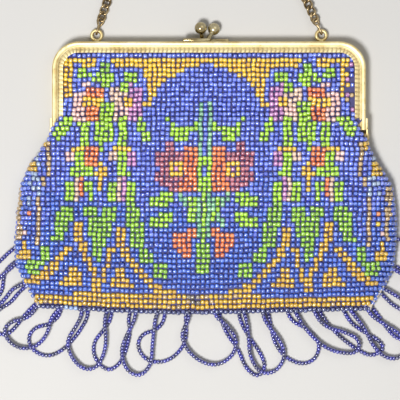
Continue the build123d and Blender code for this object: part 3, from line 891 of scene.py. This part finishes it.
def plate(shape, outline, start, thickness, rounding):
    """Plate on the right leg: an outline seen from the side, with softened edges."""
    verts = [shape.verts.new((start, y, z)) for y, z in outline]
    face = bmesh.ops.contextual_create(shape, geom=verts)["faces"][0]
    grown = bmesh.ops.extrude_face_region(shape, geom=[face])["geom"]
    moved = verts_of(grown)
    bmesh.ops.translate(shape, verts=moved, vec=(thickness, 0, 0))
    rims = [e for v in verts + moved for e in v.link_edges]
    rims = [e for e in set(rims) if abs(e.verts[0].co.x - e.verts[1].co.x) < 0.01]
    soften(shape, rims, rounding, 2)


def frame_half(name, front):
    """Channel pushed round the frame's outline, one rib at a time, with its ears."""
    shape = bmesh.new()
    mark = shape.verts.layers.float.new("groove")
    verts = [shape.verts.new((-half_width - u, -leg_length, z)) for u, z in channel_profile]
    bmesh.ops.contextual_create(shape, geom=verts)
    rim = shape.edges[:]
    moves = []
    for kind, size in (
        ("up", leg_length - corner_radius), ("turn", 90), ("along", 2 * corner_middle), ("turn", 90),
        ("down", leg_length - corner_radius),
    ):
        length = math.pi / 2 * corner_radius if kind == "turn" else size
        steps = round(length / rib_pitch) * 3
        moves += [(kind, size / steps)] * steps
    corner = Vector((-corner_middle, -corner_radius, 0))
    grooves = []
    for number, (kind, size) in enumerate(moves):
        grown = bmesh.ops.extrude_edge_only(shape, edges=rim)["geom"]
        ring = verts_of(grown)
        rim = edges_between(grown, ring)
        if kind == "turn":
            if ring[0].co.x > 0:
                corner.x = corner_middle
            turn = Matrix.Rotation(-math.radians(size), 3, "Z")
            bmesh.ops.rotate(shape, verts=ring, cent=corner, matrix=turn)
        else:
            vec = {"up": (0, size, 0), "along": (size, 0, 0), "down": (0, -size, 0)}[kind]
            bmesh.ops.translate(shape, verts=ring, vec=vec)
        if number % 3 == 0:
            grooves += ring
    bmesh.ops.contextual_create(shape, geom=rim)
    for vert in grooves:
        # the two points inside the band's edges are stamped down
        if 0.29 < vert.co.z < 0.31:
            vert.co.z += 0.17
            vert[mark] = 0.75
    for vert in shape.verts:
        if 0.33 < vert.co.z < 0.35:
            vert[mark] = 0.5
        # an old scratch at the left corner of the front
        if front and math.hypot(vert.co.x + 60.8, vert.co.y + 0.6) < 0.8:
            vert[mark] = 0.6
    channel = set(shape.verts)
    if front:
        plate(shape, ear_outline, 66.95, 0.7, 0.12)
        foot = [(-35.1, 0.6), (-30.4, 0.6), (-30.4, 3.6), (-35.1, 3.6)]
        plate(shape, foot, 66.45, 1.2, 0.25)
    else:
        plate(shape, ear_outline, 66.15, 0.6, 0.1)
    plate_verts = [v for v in shape.verts if v not in channel]
    faces = [f for f in shape.faces if f.verts[0] not in channel]
    copies = bmesh.ops.duplicate(shape, geom=plate_verts + faces)["geom"]
    bmesh.ops.scale(shape, verts=verts_of(copies), vec=(-1, 1, 1))
    if front:
        bmesh.ops.scale(shape, verts=shape.verts[:], vec=(1, 1, -1))
        bmesh.ops.translate(shape, verts=shape.verts[:], vec=(0, 0, 2 * mid_level))
    return put(name, metal_mesh(shape, name, 50), [frame_brass])


frame_brass = worn_metal("worn_gilt_brass", "#ded0a0", "#c8b078", "#6a5430", 0.46)
rear_channel = frame_half("rear_channel", False)
front_channel = frame_half("front_channel", True)
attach(rear_channel, "rear_half")
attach(front_channel, "front_half")
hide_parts("rear_frame")
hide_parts("front_frame")

# Rivets: brass pins through both ears, their heads hammered round
for side, node in ((1, "right_rivet"), (-1, "left_rivet")):
    shape = bmesh.new()
    for start, end, radius, low, high in (
        (65.5, 66.0, 1.6, 0.75, 1), (66.0, 67.8, 0.9, 1, 1), (67.8, 68.3, 1.6, 1, 0.75),
    ):
        made = bmesh.ops.create_cone(
            shape, cap_ends=True, segments=24, radius1=radius * low, radius2=radius * high, depth=end - start,
        )["verts"]
        quarter_turn(shape, made, "Y")
        bmesh.ops.translate(shape, verts=made, vec=((start + end) / 2, pivot_y, mid_level))
    bmesh.ops.scale(shape, verts=shape.verts[:], vec=(side, 1, 1))
    pin = put("pin_" + node, metal_mesh(shape, "pin_" + node, 40), [frame_brass])
    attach(pin, "rear_half")
    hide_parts(node)


# Kiss-lock clasp: two brass balls on bent stems that snap past each other, each stem on a flat arm that
# is soldered to the top of its frame half.
clasp_brass = worn_metal("rubbed_nickel_brass", "#bcb08c", "#94835c", "#483a24", 0.2)
ball_size = 2.62
arm_y = 3.05
for name, nodes, body, arm_ends, foot_x, arm_z, ball in (
    (
        "front_kiss", ("front_clasp_arm", "front_clasp_ball"), "front_half",
        (-11.05, 0.5), -0.4, 6.15, (2.1, 7.9, 3.2),
    ),
    (
        "rear_kiss", ("rear_clasp_arm", "rear_clasp_ball"), "rear_half",
        (-3.7, 8.5), -2.8, 1.95, (-3.5, 8.2, 4.9),
    ),
):
    shape = bmesh.new()
    arm = bmesh.ops.create_cube(shape, size=1)["verts"]
    bmesh.ops.scale(shape, verts=arm, vec=(arm_ends[1] - arm_ends[0], 1.4, 2.5))
    bmesh.ops.translate(shape, verts=arm, vec=((arm_ends[0] + arm_ends[1]) / 2, arm_y, arm_z))
    soften(shape, shape.edges[:], 0.45, 4)
    ball_verts = bmesh.ops.create_uvsphere(shape, u_segments=32, v_segments=20, radius=ball_size)["verts"]
    bmesh.ops.translate(shape, verts=ball_verts, vec=ball)
    foot = Vector((foot_x, arm_y, arm_z))
    centre = Vector(ball)
    axis = centre - foot
    stem = bmesh.ops.create_cone(
        shape, cap_ends=True, segments=20, radius1=1.0, radius2=0.62, depth=axis.length,
    )["verts"]
    lean = axis.to_track_quat("Z", "Y").to_matrix().to_4x4()
    bmesh.ops.transform(shape, verts=stem, matrix=Matrix.Translation((foot + centre) / 2) @ lean)
    collar_at = centre - axis.normalized() * (ball_size - 0.1)
    collar = bmesh.ops.create_cone(
        shape, cap_ends=True, segments=20, radius1=0.85, radius2=1.15, depth=0.5,
    )["verts"]
    bmesh.ops.transform(shape, verts=collar, matrix=Matrix.Translation(collar_at) @ lean)
    kiss = put(name, metal_mesh(shape, name, 45), [clasp_brass])
    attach(kiss, body)
    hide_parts(*nodes)

# Lugs: brass rings on small feet, brazed to the top edge of the rear half
lug_x = 48
lug_y = 5.25
lug_z = 2.2
ring_radius = 2.1
chain_brass = worn_metal("aged_gilt_wire", "#c4b08a", "#867250", "#382c20", 0.28)
for node, side in (("left_lug", -1), ("right_lug", 1)):
    shape = bmesh.new()
    bmesh.ops.create_circle(shape, segments=12, radius=0.7)
    quarter_turn(shape, shape.verts[:], "X")
    bmesh.ops.translate(shape, verts=shape.verts[:], vec=(ring_radius, 0, 0))
    bmesh.ops.spin(
        shape, geom=shape.verts[:] + shape.edges[:], cent=(0, 0, 0), axis=(0, 0, 1), angle=2 * math.pi,
        steps=40, use_merge=True, use_duplicate=False,
    )
    bmesh.ops.translate(shape, verts=shape.verts[:], vec=(side * lug_x, lug_y, lug_z))
    foot = bmesh.ops.create_cube(shape, size=1)["verts"]
    bmesh.ops.scale(shape, verts=foot, vec=(2.0, 1.1, 1.3))
    bmesh.ops.translate(shape, verts=foot, vec=(side * lug_x, 2.8, lug_z))
    corners = [e for e in shape.edges if e.verts[0] in foot and e.verts[1] in foot]
    soften(shape, corners, 0.25, 3)
    ring = put("ring_" + node, metal_mesh(shape, "ring_" + node, 45), [frame_brass])
    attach(ring, "rear_half")
    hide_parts(node)


# Handle chain: a long plain link in each ring and a flat curb chain between, its wire links twisted and
# pressed so that they lie in one plane. It runs in one easy arch on the floor.
def wire_link(route, roundness):
    """Closed link bent from round wire along the route."""
    curve, spline = new_line("POLY", route)
    curve.bevel_depth = 0.5
    curve.bevel_resolution = roundness
    curve.twist_mode = "MINIMUM"
    spline.use_cyclic_u = True
    mesh = curve_mesh(curve)
    mesh.materials.clear()
    for polygon in mesh.polygons:
        polygon.use_smooth = True
    return mesh


curb_link = wire_link(
    [
        (2.15 * math.cos(t), 1.5 * math.sin(t), 0.75 * math.sin(2 * t))
        for t in (2 * math.pi * i / 22 for i in range(22))
    ],
    1,
)


def twisted(outline):
    """Link that stands up in its ring and turns half over towards its far end."""
    turns = [math.radians(52) * min(max((x - 1.8) / 2.4, 0), 1) for x, z in outline]
    return [(x, z * math.sin(a), z * math.cos(a)) for (x, z), a in zip(outline, turns)]


link_length = 4
link_radius = 1.6
half_turn = [math.radians(-90 + 15 * i) for i in range(13)]
end_link = wire_link(
    twisted(
        [(link_length + link_radius * math.cos(a), link_radius * math.sin(a)) for a in half_turn]
        + [(link_length * (1 - i / 6), link_radius) for i in range(1, 6)]
        + [(-link_radius * math.cos(a), -link_radius * math.sin(a)) for a in half_turn]
        + [(link_length * i / 6, -link_radius) for i in range(1, 6)]
    ),
    3,
)
pulls = []
for side, lean, node in ((-1, 18, "left_end_link"), (1, 24, "right_end_link")):
    seat = math.radians(0.6 * lean)
    tilt = math.radians(lean)
    start = Vector(
        (side * (lug_x - ring_radius * math.sin(seat)), lug_y + ring_radius * math.cos(seat), lug_z)
    )
    heading = Vector((-side * math.sin(tilt), math.cos(tilt), 0))
    pulls.append((start + heading * 6.45, heading))
    turn = Matrix((heading, Vector((0, 0, 1)).cross(heading), Vector((0, 0, 1)))).transposed().to_4x4()
    shape = bmesh.new()
    strew(shape, end_link, Matrix.Translation(start) @ turn)
    bmesh.ops.scale(shape, verts=shape.verts[:], vec=(mm, mm, mm))
    link = put("long_" + node, mesh_of(shape, "long_" + node), [chain_brass])
    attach(link, "handle")
    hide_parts(node)

(left_start, left_heading), (right_start, right_heading) = pulls
arch_pull = 94
anchors = (
    left_start, left_start + left_heading * arch_pull, right_start + right_heading * arch_pull, right_start,
)


def arch_point(t):
    """Point on the chain's arch, from its left end to its right end."""
    s = 1 - t
    return (
        anchors[0] * s ** 3 + anchors[1] * 3 * s * s * t + anchors[2] * 3 * s * t * t + anchors[3] * t ** 3
    )


arch = [arch_point(i / 600) for i in range(601)]
arch_length = sum((b - a).length for a, b in zip(arch, arch[1:]))
link_steps = math.ceil(arch_length / 3.05)
# a hair short of an even share, so that the last link isn't lost to rounding
link_places = stations(arch, arch_length / link_steps * 0.999999)
shape = bmesh.new()
for i, (spot, direction) in enumerate(link_places):
    # the first links turn to meet the standing end link
    roll = math.radians(max(30 - 12 * i, 0) - max(30 - 12 * (link_steps - i), 0))
    sideways = Vector((-direction.y, direction.x, 0)).normalized()
    up = Vector((0, 0, math.cos(roll))) - sideways * math.sin(roll)
    turn = Matrix((direction, up.cross(direction), up)).transposed().to_4x4()
    strew(shape, curb_link, Matrix.Translation(spot) @ turn)
bmesh.ops.scale(shape, verts=shape.verts[:], vec=(mm, mm, mm))
curb_chain = put("curb_chain", mesh_of(shape, "curb_chain"), [chain_brass])
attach(curb_chain, "handle")
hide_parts("handle_chain")
